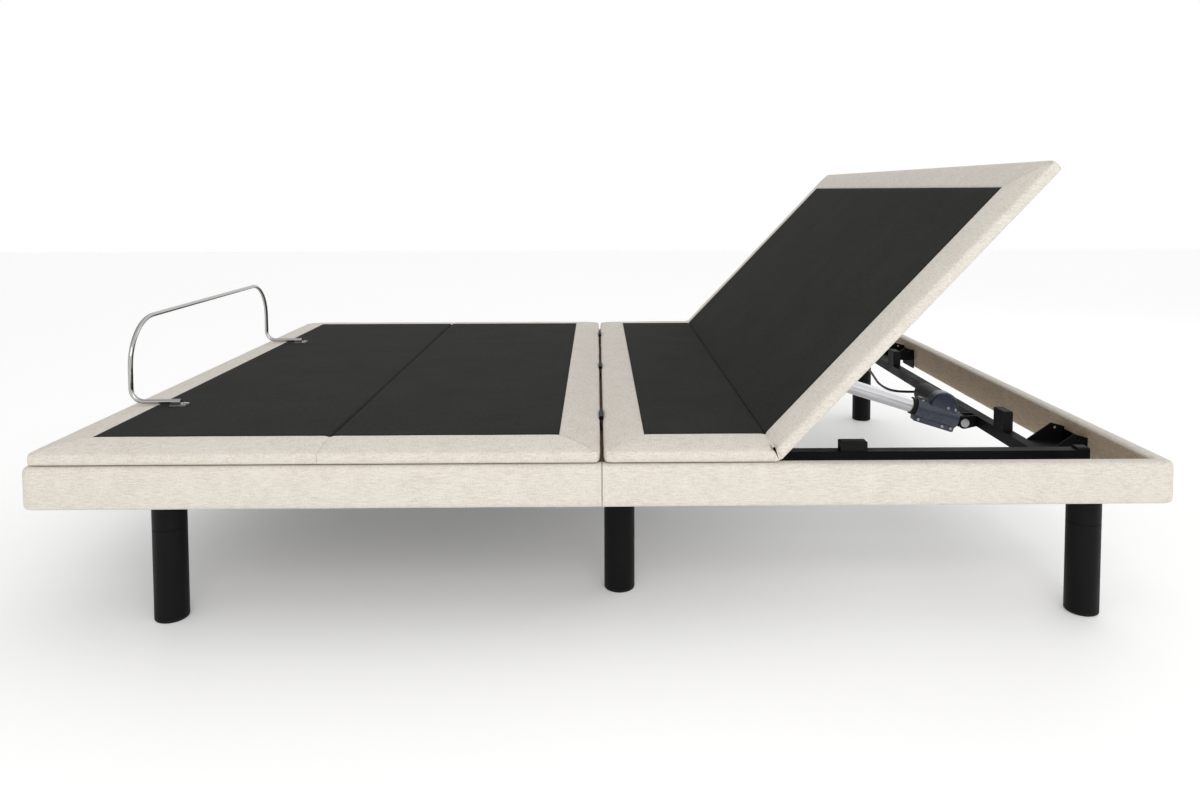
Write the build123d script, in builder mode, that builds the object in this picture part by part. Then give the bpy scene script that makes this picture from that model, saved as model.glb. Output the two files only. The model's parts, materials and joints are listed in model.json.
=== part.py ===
"""Adjustable bed base, queen size, in two bolted halves with a motor-raised head and leg section.

Frame: +X towards the head end, +Y towards the sleeper's left, +Z up, millimetres, origin on the floor
below the middle of the base. At rest the head section is raised by REST_ANGLE and the rest lies flat.
"""
import os
from math import atan2, cos, degrees, hypot, radians, sin

from build123d import *

# ---- driving dimensions ---------------------------------------------------------------------------
LENGTH = 2032
WIDTH = 1524
HALF_L = LENGTH / 2
HALF_W = WIDTH / 2
RAIL_BOTTOM = 229
RAIL_TOP = 305
RAIL_THICK = 30
RAIL_BOARD = 18
RAIL_FOAM = 8
RAIL_LINING = 4
CORNER_R = 16
RAIL_EDGE_R = 7

PANEL_BOTTOM = 306
PANEL_TOP = 336
PANEL_INSET = 6
PANEL_EDGE_R = 6
PANEL_CORNER_R = 10
BOARD_THICK = 15
BOARD_INSET = 5
MAT_THICK = 2
SIDE_BORDER = 80
GAP = 3
SEAT_END = 303
HEAD_START = 307
KNEE_X = -500
KNEE_GAP = 2
KNEE_BEND_R = 7
TAPER = 9
END_BORDER = 76
LINING = 0.8

TUBE = 25
TUBE_WALL = 2
CROSS_Z = RAIL_BOTTOM
SIDE_Z = CROSS_Z + TUBE
SIDE_Y = 592
SIDE_END = 950
CROSS_HALF = 715
HEAD_CROSS_X = 896
FOOT_CROSS_X = -795
MID_CROSS_X = 35
BLOCK_TOP = 298

LEG_R = 30
LEG_SPLIT = 171
LEG_PAD = 6
STUD_R = 5
CORNER_LEG_Y = 682
CENTRE_LEG_Y = 572

REST_ANGLE = 46.5
HEAD_AXIS = (305.0, 328.0)
THIGH_AXIS = (0.0, 328.0)
KNEE_AXIS = (float(KNEE_X), 301.5)
HINGE_YS = (-500, 0, 500)
HINGE_WIDTH = 60
KNUCKLE_R = 4
PIN_R = 2.5
LEAF = 3
LEAF_LONG = 48

HEAD_LIFT_AXIS = (90.0, 198.0)
HEAD_LIFT_RATIO = 0.355
HEAD_LIFT_ARM = 380.0
HEAD_LIFT_FLAT = 12.77
FOOT_LIFT_AXIS = (-150.0, 198.0)
FOOT_LIFT_ARM = 300.0
FOOT_LIFT_FLAT = 16.26
FOOT_LEVER = (80.0, 75.0)
LIFT_Y = 300
ARM_THICK = 8
ARM_WIDE = 28
ROLLER_R = 19
ROLLER_WIDE = 22
RUNNER = 4

HEAD_MOTOR_Y = -231
HEAD_MOTOR_PIN = (855.0, 238.0)
HEAD_MOTOR_TILT = 17.5
HEAD_MOTOR_LENGTH = 460.0
HEAD_MOTOR_TUBE = 365.0
FOOT_MOTOR_Y = 200
FOOT_MOTOR_PIN = (-745.0, 185.0)
FOOT_MOTOR_TUBE = 545.0
ROD_LENGTH = 182.0
MOTOR_PIN_R = 6
EYE_R = 18
EYE_BORE = 12.5
EYE_WIDE = 20
ROD_R = 9.5

LINK_SHIFT = (-135.0, -40.0)
LINK_Y = 567
RUN = 0.06

RETAINER_YS = (-440, 316)
RETAINER_R = 5
RETAINER_X = -988
RETAINER_TOP = 514

OUT = "parts"
os.makedirs(OUT, exist_ok=True)


# ---- helpers --------------------------------------------------------------------------------------
def save(name, shape):
    """Write one labelled node."""
    shape.label = name
    export_step(shape, f"{OUT}/{name}.step")


def save_group(name, shapes):
    """Write several separate solids as one node."""
    solids = [s for shape in shapes for s in shape.solids()]
    save(name, Compound(children=solids))


def side_plane(y):
    """A vertical plane at y whose local x is +X and local y is +Z."""
    return Plane(origin=(0, y, 0), x_dir=(1, 0, 0), z_dir=(0, -1, 0))


def box(x0, x1, y0, y1, z0, z1):
    """A plain block between two corners."""
    with BuildPart() as block:
        with BuildSketch(Plane.XY.offset(z0)):
            with Locations(((x0 + x1) / 2, (y0 + y1) / 2)):
                Rectangle(abs(x1 - x0), abs(y1 - y0))
        extrude(amount=z1 - z0)
    return block.part


def turned(point, axis, angle):
    """A point of the XZ plane turned about axis, positive lifting the +X side."""
    a = radians(angle)
    x, z = point[0] - axis[0], point[1] - axis[1]
    return (axis[0] + x * cos(a) - z * sin(a), axis[1] + x * sin(a) + z * cos(a))


def raised(shape, axis, angle):
    """A shape turned about a hinge line along Y, positive lifting the +X side."""
    line = Axis((axis[0], 0, axis[1]), (0, -1, 0))
    return shape.rotate(line, angle)


def pin(x, z, radius, y0, y1):
    """A round bar along Y."""
    with BuildPart() as bar:
        with BuildSketch(side_plane(y1)):
            with Locations((x, z)):
                Circle(radius)
        extrude(amount=y1 - y0)
    return bar.part


def strap(points, wide, y, thick, bores=(), end_r=None):
    """A flat bar along a polyline in the XZ plane, with round ends and bores of (x, z, radius)."""
    with BuildPart() as bar:
        with BuildSketch(side_plane(y)) as outline:
            for a, b in zip(points, points[1:]):
                length = hypot(b[0] - a[0], b[1] - a[1])
                with Locations(((a[0] + b[0]) / 2, (a[1] + b[1]) / 2)):
                    Rectangle(length, wide, rotation=degrees(atan2(b[1] - a[1], b[0] - a[0])))
            for p in points:
                with Locations(p):
                    Circle((end_r or wide / 2) if p in (points[0], points[-1]) else wide / 2)
            for x, z, r in bores:
                with Locations((x, z)):
                    Circle(r, mode=Mode.SUBTRACT)
        extrude(amount=thick / 2, both=True)
    return bar.part


def tube_x(x0, x1, y, z0):
    """A square steel tube along X."""
    with BuildPart() as tube:
        with BuildSketch(Plane(origin=(x0, y, z0 + TUBE / 2), x_dir=(0, 1, 0), z_dir=(1, 0, 0))):
            Rectangle(TUBE, TUBE)
            Rectangle(TUBE - 2 * TUBE_WALL, TUBE - 2 * TUBE_WALL, mode=Mode.SUBTRACT)
        extrude(amount=x1 - x0)
    return tube.part


def tube_y(x, y0, y1, z0):
    """A square steel tube along Y."""
    with BuildPart() as tube:
        with BuildSketch(Plane(origin=(x, y1, z0 + TUBE / 2), x_dir=(1, 0, 0), z_dir=(0, -1, 0))):
            Rectangle(TUBE, TUBE)
            Rectangle(TUBE - 2 * TUBE_WALL, TUBE - 2 * TUBE_WALL, mode=Mode.SUBTRACT)
        extrude(amount=y1 - y0)
    return tube.part


# ---- legs -----------------------------------------------------------------------------------------
def leg(x, y):
    """A round leg in two screwed sections, with the stud that enters the frame."""
    with BuildPart() as lower:
        with BuildSketch(Plane.XY.offset(LEG_PAD)):
            with Locations((x, y)):
                Circle(LEG_R)
        extrude(amount=LEG_SPLIT - LEG_PAD)
        chamfer(lower.faces().sort_by(Axis.Z)[-1].edges(), 0.6)
    with BuildPart() as upper:
        with BuildSketch(Plane.XY.offset(LEG_SPLIT)):
            with Locations((x, y)):
                Circle(LEG_R)
        extrude(amount=RAIL_BOTTOM - LEG_SPLIT)
        chamfer(upper.faces().sort_by(Axis.Z)[0].edges(), 0.6)
        with BuildSketch(Plane.XY.offset(RAIL_BOTTOM)):
            with Locations((x, y)):
                Circle(STUD_R)
        extrude(amount=TUBE_WALL + 8)
    return [lower.part, upper.part]


def leg_pad(x, y):
    """The rubber foot under a leg."""
    with BuildPart() as pad:
        with BuildSketch():
            with Locations((x, y)):
                Circle(LEG_R)
        extrude(amount=LEG_PAD)
        fillet(pad.faces().sort_by(Axis.Z)[0].edges(), 4)
    return pad.part


LEG_SPOTS = {}
for row, x, y in (
    ("foot", FOOT_CROSS_X, CORNER_LEG_Y),
    ("centre", MID_CROSS_X, CENTRE_LEG_Y),
    ("head", HEAD_CROSS_X, CORNER_LEG_Y),
):
    LEG_SPOTS[f"leg_{row}_right"] = (x, -y)
    LEG_SPOTS[f"leg_{row}_left"] = (x, y)

for row in ("foot", "centre", "head"):
    pair = [leg(*spot) for name, spot in LEG_SPOTS.items() if row in name]
    save_group(f"legs_{row}", pair[0] + pair[1])
save_group("leg_foot_pads", [leg_pad(*spot) for spot in LEG_SPOTS.values()])


# ---- upholstered rails ----------------------------------------------------------------------------
def u_block(side, inset_out, thick, z0, z1, x_start):
    """Two side rails and an end rail in one block; side is +1 for the head half, -1 for the foot."""
    outer_x, outer_y = HALF_L - inset_out, HALF_W - inset_out
    with BuildPart() as block:
        with BuildSketch(Plane.XY.offset(z0)):
            with Locations((side * (outer_x + x_start) / 2, 0)):
                Rectangle(outer_x - x_start, 2 * outer_y)
            with Locations((side * (outer_x - thick + x_start) / 2, 0)):
                Rectangle(outer_x - thick - x_start, 2 * (outer_y - thick), mode=Mode.SUBTRACT)
        extrude(amount=z1 - z0)
    return block.part


def rail_boards(side):
    """The three boards inside a half's rails, mitre-free: the end board runs between the sides."""
    top = RAIL_TOP - RAIL_LINING - 2
    outer = HALF_W - RAIL_FOAM
    end_out = HALF_L - RAIL_FOAM
    low_x, high_x = sorted((side * 0.5, side * end_out))
    boards = [box(low_x, high_x, s * (outer - RAIL_BOARD), s * outer, RAIL_BOTTOM + 2, top) for s in (-1, 1)]
    end = sorted((side * (end_out - RAIL_BOARD), side * end_out))
    boards.append(box(*end, RAIL_BOARD - outer, outer - RAIL_BOARD, RAIL_BOTTOM + 2, top))
    return boards


def rail_cover(side):
    """The foam and fabric around a half's boards, open at the joint between the halves."""
    with BuildPart() as cover:
        add(u_block(side, 0, RAIL_THICK, RAIL_BOTTOM, RAIL_TOP, 0.5))
        corners = cover.edges().filter_by(Axis.Z).sort_by(Axis.X, reverse=side > 0)[:2]
        fillet(corners, CORNER_R)
        for level in (-1, 0):
            rim = cover.faces().filter_by(Axis.Z).sort_by(Axis.Z)[level].outer_wire().edges()
            keep = [e for e in rim if abs(e.center().X) > 1]
            keep = [e for e in keep if abs(e.center().Y) > HALF_W - RAIL_THICK / 2 or abs(e.center().X) > HALF_L - 25]
            fillet(keep, RAIL_EDGE_R)
        for board in rail_boards(side):
            add(board, mode=Mode.SUBTRACT)
    return cover.part


for half, side in (("head", 1), ("foot", -1)):
    save_group(f"{half}_rail_boards", rail_boards(side))
    save(f"{half}_rail_upholstery", rail_cover(side))


# ---- steel frame ----------------------------------------------------------------------------------
BOLT_YS = (-640, -220, 220, 640)
BOLT_Z = CROSS_Z + TUBE / 2


def bolt_holes():
    """The clearance holes for the bolts that join the halves."""
    with BuildPart() as holes:
        with BuildSketch(Plane.YZ.offset(-MID_CROSS_X - TUBE)):
            with Locations([(y, BOLT_Z) for y in BOLT_YS]):
                Circle(4.2)
        extrude(amount=2 * (MID_CROSS_X + TUBE))
    return holes.part


def frame_tubes(side, cross_x):
    """A half's tubes: two cross tubes with a long tube each side welded on top of them."""
    mid = side * MID_CROSS_X
    tubes = [tube_y(x, -CROSS_HALF, CROSS_HALF, CROSS_Z) for x in (mid, cross_x)]
    low, high = sorted((side * (MID_CROSS_X - TUBE / 2), side * SIDE_END))
    tubes += [tube_x(low, high, s * SIDE_Y, SIDE_Z) for s in (-1, 1)]
    with BuildPart() as stud_holes:
        for x, y in LEG_SPOTS.values():
            with BuildSketch(Plane.XY.offset(CROSS_Z - 1)):
                with Locations((x, y)):
                    Circle(STUD_R + 0.1)
            extrude(amount=TUBE_WALL + 2)
    cut = [tubes[0] - stud_holes.part - bolt_holes(), tubes[1] - stud_holes.part]
    return cut + tubes[2:]


save_group("head_frame_tubes", frame_tubes(1, HEAD_CROSS_X))
save_group("foot_frame_tubes", frame_tubes(-1, FOOT_CROSS_X))

BRACKET_Y = (440, 532)
BRACKET_PEAK = 290
SHEET = 3


def end_bracket(side, cross_x, hand):
    """A pressed bracket from the end cross tube to the end rail, with a humped flange each side."""
    x0 = cross_x + side * TUBE / 2
    x1 = side * (HALF_L - RAIL_THICK)
    y_mid = hand * sum(BRACKET_Y) / 2
    y_half = (BRACKET_Y[1] - BRACKET_Y[0]) / 2
    base_top = CROSS_Z + TUBE
    peak_x = x1 - side * 16
    with BuildPart() as bracket:
        with BuildSketch(Plane.XY.offset(base_top - SHEET)):
            with Locations(((x0 + x1) / 2, y_mid)):
                Rectangle(abs(x1 - x0), 2 * y_half)
                with GridLocations(0, 44, 1, 2):
                    Circle(5, mode=Mode.SUBTRACT)
        extrude(amount=SHEET)
        for edge in (-1, 1):
            y = y_mid + edge * (y_half - SHEET / 2)
            with BuildSketch(side_plane(y)):
                with BuildLine():
                    Polyline((x0, base_top), (x0, base_top + 2), (peak_x - side * 12, BRACKET_PEAK),
                             (x1, BRACKET_PEAK - 8), (x1, base_top), (x0, base_top))
                make_face()
                with Locations((peak_x - side * 4, BRACKET_PEAK - 10)):
                    Circle(3, mode=Mode.SUBTRACT)
            extrude(amount=SHEET / 2, both=True)
        with BuildSketch(Plane(origin=(x1, y_mid, base_top - SHEET), x_dir=(0, 1, 0), z_dir=(-side, 0, 0))):
            with Locations((0, side * -0)):
                Rectangle(2 * y_half, 2 * (BRACKET_PEAK - 10 - base_top), mode=Mode.ADD)
        extrude(amount=SHEET)
    return bracket.part


for half, side, cross_x in (("head", 1, HEAD_CROSS_X), ("foot", -1, FOOT_CROSS_X)):
    save_group(f"{half}_end_brackets", [end_bracket(side, cross_x, hand) for hand in (-1, 1)])


def block(x, y, long_x, long_y, z0, z1):
    """A moulded rubber rest block with softened top edges."""
    with BuildPart() as rest:
        with BuildSketch(Plane.XY.offset(z0)):
            with Locations((x, y)):
                Rectangle(long_x, long_y)
        extrude(amount=z1 - z0)
        fillet(rest.faces().sort_by(Axis.Z)[-1].edges(), 2.5)
    return rest.part


SIDE_TOP = SIDE_Z + TUBE
CROSS_TOP = CROSS_Z + TUBE
blocks = []
for hand in (-1, 1):
    for x in (490, -300, -640):
        blocks.append(block(x, hand * SIDE_Y, 52, 22, SIDE_TOP, BLOCK_TOP))
    for x in (938, -938):
        blocks.append(block(x, hand * SIDE_Y, 24, 22, SIDE_TOP, SIDE_TOP + 5))
    for x in (70, 262):
        blocks.append(block(x, hand * SIDE_Y, 40, 22, SIDE_TOP, PANEL_BOTTOM))
    blocks.append(block(HEAD_CROSS_X - 1, hand * 357, 22, 46, CROSS_TOP, BLOCK_TOP))
    blocks.append(block(FOOT_CROSS_X + 1, hand * 357, 22, 46, CROSS_TOP, BLOCK_TOP))
save_group("rest_blocks", blocks)


def joining_bolt(y, z):
    """A bolt with head and nut that clamps the two halves' middle cross tubes."""
    outer = MID_CROSS_X + TUBE / 2
    with BuildPart() as bolt:
        with BuildSketch(Plane.YZ.offset(-outer - 6)):
            with Locations((y, z)):
                RegularPolygon(7, 6)
        extrude(amount=6)
        with BuildSketch(Plane.YZ.offset(-outer)):
            with Locations((y, z)):
                Circle(4)
        extrude(amount=2 * outer)
        with BuildSketch(Plane.YZ.offset(outer)):
            with Locations((y, z)):
                RegularPolygon(7, 6)
        extrude(amount=6)
    return bolt.part


joining_bolts = [joining_bolt(y, BOLT_Z) for y in BOLT_YS]


def centre_board(side):
    """The board that closes a half at the joint, bolted against the middle cross tube."""
    low, high = sorted((0, side * (MID_CROSS_X - TUBE / 2)))
    inner = HALF_W - RAIL_THICK
    return box(low, high, -inner, inner, RAIL_BOTTOM + 2, RAIL_TOP - 3) - bolt_holes()


save_group("centre_boards", [centre_board(side) for side in (-1, 1)])


def rail_clip(x, hand):
    """An angle clip from the end of a cross tube to the inner face of a side rail."""
    y0, y1 = sorted((hand * (CROSS_HALF - 25), hand * (HALF_W - RAIL_THICK)))
    w0, w1 = sorted((hand * (HALF_W - RAIL_THICK - SHEET), hand * (HALF_W - RAIL_THICK)))
    flat = box(x - 12, x + 12, y0, y1, CROSS_TOP, CROSS_TOP + SHEET)
    return flat + box(x - 12, x + 12, w0, w1, CROSS_TOP, CROSS_TOP + 36)


CLIP_XS = (HEAD_CROSS_X, MID_CROSS_X, -MID_CROSS_X, FOOT_CROSS_X)
save_group("rail_clips", [rail_clip(x, hand) for x in CLIP_XS for hand in (-1, 1)])



# ---- deck panels ----------------------------------------------------------------------------------
PANEL_HALF = HALF_W - PANEL_INSET
MAT_HALF = PANEL_HALF - SIDE_BORDER
PANELS = {
    "foot": (PANEL_INSET - HALF_L, KNEE_X - KNEE_GAP / 2, False, True),
    "thigh": (KNEE_X + KNEE_GAP / 2, -GAP, True, False),
    "seat": (GAP, SEAT_END, False, True),
    "head": (HEAD_START, HALF_L - PANEL_INSET, True, False),
}


def mat_strip(x0, x1, seam0, seam1):
    """The fabric on a panel; at a seam it rolls over the edge and runs down the end face."""
    a = x0 if seam0 else x0 + END_BORDER
    b = x1 if seam1 else x1 - END_BORDER
    low = PANEL_TOP - 20
    with BuildPart() as strip:
        with BuildSketch(side_plane(MAT_HALF)) as profile:
            with Locations(((a + b) / 2, (low + PANEL_TOP) / 2)):
                Rectangle(b - a, PANEL_TOP - low)
            tops = profile.vertices().filter_by(lambda v: v.Z > PANEL_TOP - 1 or v.Y > PANEL_TOP - 1)
            ends = [v for v in tops if (seam0 and v.X < a + 1) or (seam1 and v.X > b - 1)]
            fillet(ends, KNEE_BEND_R)
            c = a + MAT_THICK if seam0 else a
            d = b - MAT_THICK if seam1 else b
            with BuildSketch(side_plane(MAT_HALF), mode=Mode.PRIVATE) as core:
                with Locations(((c + d) / 2, (low + PANEL_TOP - MAT_THICK) / 2)):
                    Rectangle(d - c, PANEL_TOP - MAT_THICK - low)
                tops = core.vertices().filter_by(lambda v: v.Z > low + 1 or v.Y > low + 1)
                ends = [v for v in tops if (seam0 and v.X < c + 1) or (seam1 and v.X > d - 1)]
                fillet(ends, KNEE_BEND_R - MAT_THICK)
            add(core.sketch, mode=Mode.SUBTRACT)
        extrude(amount=2 * MAT_HALF)
    return strip.part


def panel_blank(x0, x1, seam0, seam1):
    """The padded outline of a panel: straight sides, then a border that rises to the fabric."""
    a = x0 if seam0 else x0 + END_BORDER
    b = x1 if seam1 else x1 - END_BORDER
    shoulder = PANEL_TOP - TAPER
    with BuildPart() as blank:
        with BuildSketch(Plane.XY.offset(PANEL_BOTTOM)):
            with Locations(((x0 + x1) / 2, 0)):
                Rectangle(x1 - x0, 2 * PANEL_HALF)
        extrude(amount=shoulder - PANEL_BOTTOM)
        with BuildSketch(Plane.XY.offset(shoulder)):
            with Locations(((x0 + x1) / 2, 0)):
                Rectangle(x1 - x0, 2 * PANEL_HALF)
        with BuildSketch(Plane.XY.offset(PANEL_TOP)):
            with Locations(((a + b) / 2, 0)):
                Rectangle(b - a, 2 * MAT_HALF)
        loft()
        for seam, x, way in ((seam0, x0, 1), (seam1, x1, -1)):
            if seam:
                with BuildSketch(side_plane(PANEL_HALF + 1)):
                    with Locations((x + way * KNEE_BEND_R / 2, PANEL_TOP - KNEE_BEND_R / 2)):
                        Rectangle(KNEE_BEND_R, KNEE_BEND_R)
                    with Locations((x + way * KNEE_BEND_R, PANEL_TOP - KNEE_BEND_R)):
                        Circle(KNEE_BEND_R, mode=Mode.SUBTRACT)
                extrude(amount=2 * PANEL_HALF + 2, mode=Mode.SUBTRACT)
    return blank.part


def hinge_slots(axis, wide=HINGE_WIDTH + 2):
    """The room for the hinge knuckles in the ends of the two panels a hinge joins."""
    with BuildPart() as slots:
        for y in HINGE_YS:
            with BuildSketch(side_plane(y)):
                with Locations((axis[0], axis[1] - 1)):
                    Rectangle(2 * KNUCKLE_R + 1.2, 2 * KNUCKLE_R + 3)
            extrude(amount=wide / 2, both=True)
    return slots.part


def panel_board(x0, x1):
    """The plywood core of a panel."""
    z0 = PANEL_BOTTOM + 1
    return box(x0 + BOARD_INSET, x1 - BOARD_INSET, BOARD_INSET - PANEL_HALF, PANEL_HALF - BOARD_INSET,
               z0, z0 + BOARD_THICK)


def panel_lining(x0, x1):
    """The thin cloth stapled under a panel."""
    return box(x0 + 14, x1 - 14, 14 - PANEL_HALF, PANEL_HALF - 14, PANEL_BOTTOM, PANEL_BOTTOM + LINING)


def placed(name, shape):
    """A panel's piece in its rest position."""
    if name == "head":
        return raised(shape, HEAD_AXIS, REST_ANGLE)
    return shape


slots = hinge_slots(HEAD_AXIS) + hinge_slots(THIGH_AXIS)
for name, (x0, x1, seam0, seam1) in PANELS.items():
    mat = mat_strip(x0, x1, seam0, seam1) - slots
    board = panel_board(x0, x1)
    lining = panel_lining(x0, x1)
    cover = panel_blank(x0, x1, seam0, seam1) - slots - mat - board - lining
    save(f"{name}_panel_mat", placed(name, mat))
    save(f"{name}_panel_board", placed(name, board))
    save(f"{name}_panel_lining", placed(name, lining))
    save(f"{name}_panel_cover", placed(name, cover))

BATTENS = {"head": (360, 985), "thigh": (-452, -60), "foot": (-975, -552)}
RUNNERS = {"head": (HEAD_AXIS[0] + 88, HEAD_AXIS[0] + 188), "thigh": (-465, -285)}
RUNNER_Y = LIFT_Y + ARM_THICK / 2 + 2 + ROLLER_WIDE / 2
for name, (x0, x1) in BATTENS.items():
    strips = []
    for hand in (-1, 1):
        for y, wide in ((SIDE_Y, 22), (357, 40)):
            strips.append(box(x0, x1, hand * y - wide / 2, hand * y + wide / 2, BLOCK_TOP, PANEL_BOTTOM))
        if name in RUNNERS:
            r0, r1 = RUNNERS[name]
            strips.append(box(r0, r1, hand * RUNNER_Y - 14, hand * RUNNER_Y + 14, PANEL_BOTTOM - RUNNER,
                              PANEL_BOTTOM))
    save_group(f"{name}_panel_battens", [placed(name, s) for s in strips])


# ---- hinges ---------------------------------------------------------------------------------------
KNUCKLES = {"outer": ((-30.0, -10.2), (10.2, 30.0)), "inner": ((-9.8, 9.8),)}


def knuckle(axis, y, kind, bore):
    """The rolled eyes of one leaf."""
    eyes = []
    for a, b in KNUCKLES[kind]:
        eye = pin(axis[0], axis[1], KNUCKLE_R, y + a, y + b)
        eyes.append(eye - pin(axis[0], axis[1], bore, y + a - 1, y + b + 1))
    return eyes


def end_leaf(axis, face, way, y, kind, bore):
    """A leaf that runs down a panel's end face and turns under it; way points into the panel."""
    thin = 1.4
    x0, x1 = sorted((face, face - way * thin))
    f0, f1 = sorted((face - way * thin, face + way * LEAF_LONG))
    half = HINGE_WIDTH / 2
    leaf = box(x0, x1, y - half, y + half, PANEL_BOTTOM - LEAF, axis[1] - KNUCKLE_R - 0.5)
    leaf += box(f0, f1, y - half, y + half, PANEL_BOTTOM - LEAF, PANEL_BOTTOM)
    for a, b in KNUCKLES[kind]:
        stem = box(x0, x1, y + a, y + b, axis[1] - KNUCKLE_R - 1, axis[1])
        leaf += stem - pin(axis[0], axis[1], bore, y + a - 1, y + b + 1)
    for eye in knuckle(axis, y, kind, bore):
        leaf += eye
    return leaf


def flat_leaf(axis, way, y, kind, bore):
    """A leaf that lies under a panel; way points into the panel."""
    half = HINGE_WIDTH / 2
    f0, f1 = sorted((axis[0] + way * (KNUCKLE_R + 0.6), axis[0] + way * LEAF_LONG))
    leaf = box(f0, f1, y - half, y + half, PANEL_BOTTOM - LEAF, PANEL_BOTTOM)
    for a, b in KNUCKLES[kind]:
        s0, s1 = sorted((axis[0], axis[0] + way * (KNUCKLE_R + 1)))
        stem = box(s0, s1, y + a, y + b, PANEL_BOTTOM - LEAF, axis[1] + KNUCKLE_R - 0.1)
        leaf += stem - pin(axis[0], axis[1], bore, y + a - 1, y + b + 1)
    for eye in knuckle(axis, y, kind, bore):
        leaf += eye
    return leaf


def hinge_pin(axis, y):
    """The pin, held by the outer knuckles."""
    return pin(axis[0], axis[1], PIN_R, y - 30, y + 30)


seat_leaves = [end_leaf(HEAD_AXIS, SEAT_END, -1, y, "outer", PIN_R) for y in HINGE_YS]
seat_leaves += [end_leaf(THIGH_AXIS, GAP, 1, y, "outer", PIN_R) for y in HINGE_YS]
head_leaves = [end_leaf(HEAD_AXIS, HEAD_START, 1, y, "inner", PIN_R + RUN) for y in HINGE_YS]
thigh_leaves = [end_leaf(THIGH_AXIS, -GAP, -1, y, "inner", PIN_R + RUN) for y in HINGE_YS]
thigh_leaves += [flat_leaf(KNEE_AXIS, 1, y, "outer", PIN_R) for y in HINGE_YS]
foot_leaves = [flat_leaf(KNEE_AXIS, -1, y, "inner", PIN_R + RUN) for y in HINGE_YS]
deck_pins = [hinge_pin(axis, y) for axis in (HEAD_AXIS, THIGH_AXIS) for y in HINGE_YS]
knee_pins = [hinge_pin(KNEE_AXIS, y) for y in HINGE_YS]
save_group("seat_hinge_leaves", seat_leaves + deck_pins)
save_group("head_hinge_leaves", [placed("head", leaf) for leaf in head_leaves])
save_group("thigh_hinge_leaves", thigh_leaves + knee_pins)
save_group("foot_hinge_leaves", foot_leaves)


# ---- lift frames ----------------------------------------------------------------------------------
def polar(origin, reach, angle):
    """A point at a reach and angle from origin in the XZ plane."""
    return (origin[0] + reach * cos(radians(angle)), origin[1] + reach * sin(radians(angle)))


HEAD_SWING = HEAD_LIFT_RATIO * REST_ANGLE
HEAD_ROLLER = polar(HEAD_LIFT_AXIS, HEAD_LIFT_ARM, HEAD_LIFT_FLAT + HEAD_SWING)
HEAD_KNEE = polar(HEAD_LIFT_AXIS, 252, -5.2 + HEAD_SWING)
HEAD_ROD_PIN = (
    HEAD_MOTOR_PIN[0] - HEAD_MOTOR_LENGTH * cos(radians(HEAD_MOTOR_TILT)),
    HEAD_MOTOR_PIN[1] + HEAD_MOTOR_LENGTH * sin(radians(HEAD_MOTOR_TILT)),
)
FOOT_ROLLER = polar(FOOT_LIFT_AXIS, FOOT_LIFT_ARM, 180 - FOOT_LIFT_FLAT)
FOOT_ROD_PIN = polar(FOOT_LIFT_AXIS, FOOT_LEVER[0], 180 - FOOT_LEVER[1])


def lift_frame(axis, bends, roller, lever, lever_y):
    """A torque tube with two arms that end in roller pins, and a lever for the motor rod."""
    reach = LIFT_Y + 24
    tube = pin(axis[0], axis[1], 15, -reach, reach)
    solids = []
    arms = [tube]
    for hand in (-1, 1):
        arms.append(strap([axis, *bends, roller], ARM_WIDE, hand * LIFT_Y, ARM_THICK, (), ARM_WIDE / 2))
        a, b = sorted((hand * (LIFT_Y - 6), hand * (RUNNER_Y + ROLLER_WIDE / 2 + 6)))
        arms.append(pin(roller[0], roller[1], 6, a, b))
        a, b = sorted((hand * (RUNNER_Y + ROLLER_WIDE / 2 + 2), hand * (RUNNER_Y + ROLLER_WIDE / 2 + 6)))
        arms.append(pin(roller[0], roller[1], 9, a, b))
        a, b = sorted((hand * reach, hand * (reach + 18)))
        arms.append(pin(axis[0], axis[1], 8, a, b))
        a, b = sorted((hand * (reach + 14), hand * (reach + 18)))
        arms.append(pin(axis[0], axis[1], 12, a, b))
        arms.append(strap([axis, *bends, lever], ARM_WIDE, lever_y + hand * (EYE_WIDE / 2 + 5), 6, (), 14))
    if bends:
        arms.append(pin(bends[0][0], bends[0][1], 12, -LIFT_Y, LIFT_Y))
    arms.append(pin(lever[0], lever[1], MOTOR_PIN_R, lever_y - 22, lever_y + 22))
    whole = arms[0]
    for piece in arms[1:]:
        whole += piece
    solids.append(whole)
    return solids


def roller_pair(roller):
    """The two nylon rollers of a lift frame."""
    rollers = []
    for hand in (-1, 1):
        a, b = sorted((hand * (RUNNER_Y - ROLLER_WIDE / 2), hand * (RUNNER_Y + ROLLER_WIDE / 2)))
        wheel = pin(roller[0], roller[1], ROLLER_R, a, b)
        wheel = chamfer(wheel.edges().filter_by(GeomType.CIRCLE), 1.2)
        rollers.append(wheel - pin(roller[0], roller[1], 6 + RUN, a - 1, b + 1))
    return rollers


def hanger(axis, tube_x, y, thick, bore, boss=22):
    """A plate under a cross tube that carries a pivot."""
    with BuildPart() as plate:
        with BuildSketch(side_plane(y)) as outline:
            with Locations(axis):
                Circle(boss)
            with Locations((tube_x, CROSS_Z - 5)):
                Rectangle(TUBE, 10)
            make_hull()
            with Locations(axis):
                Circle(bore, mode=Mode.SUBTRACT)
        extrude(amount=thick / 2, both=True)
    return plate.part


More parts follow.
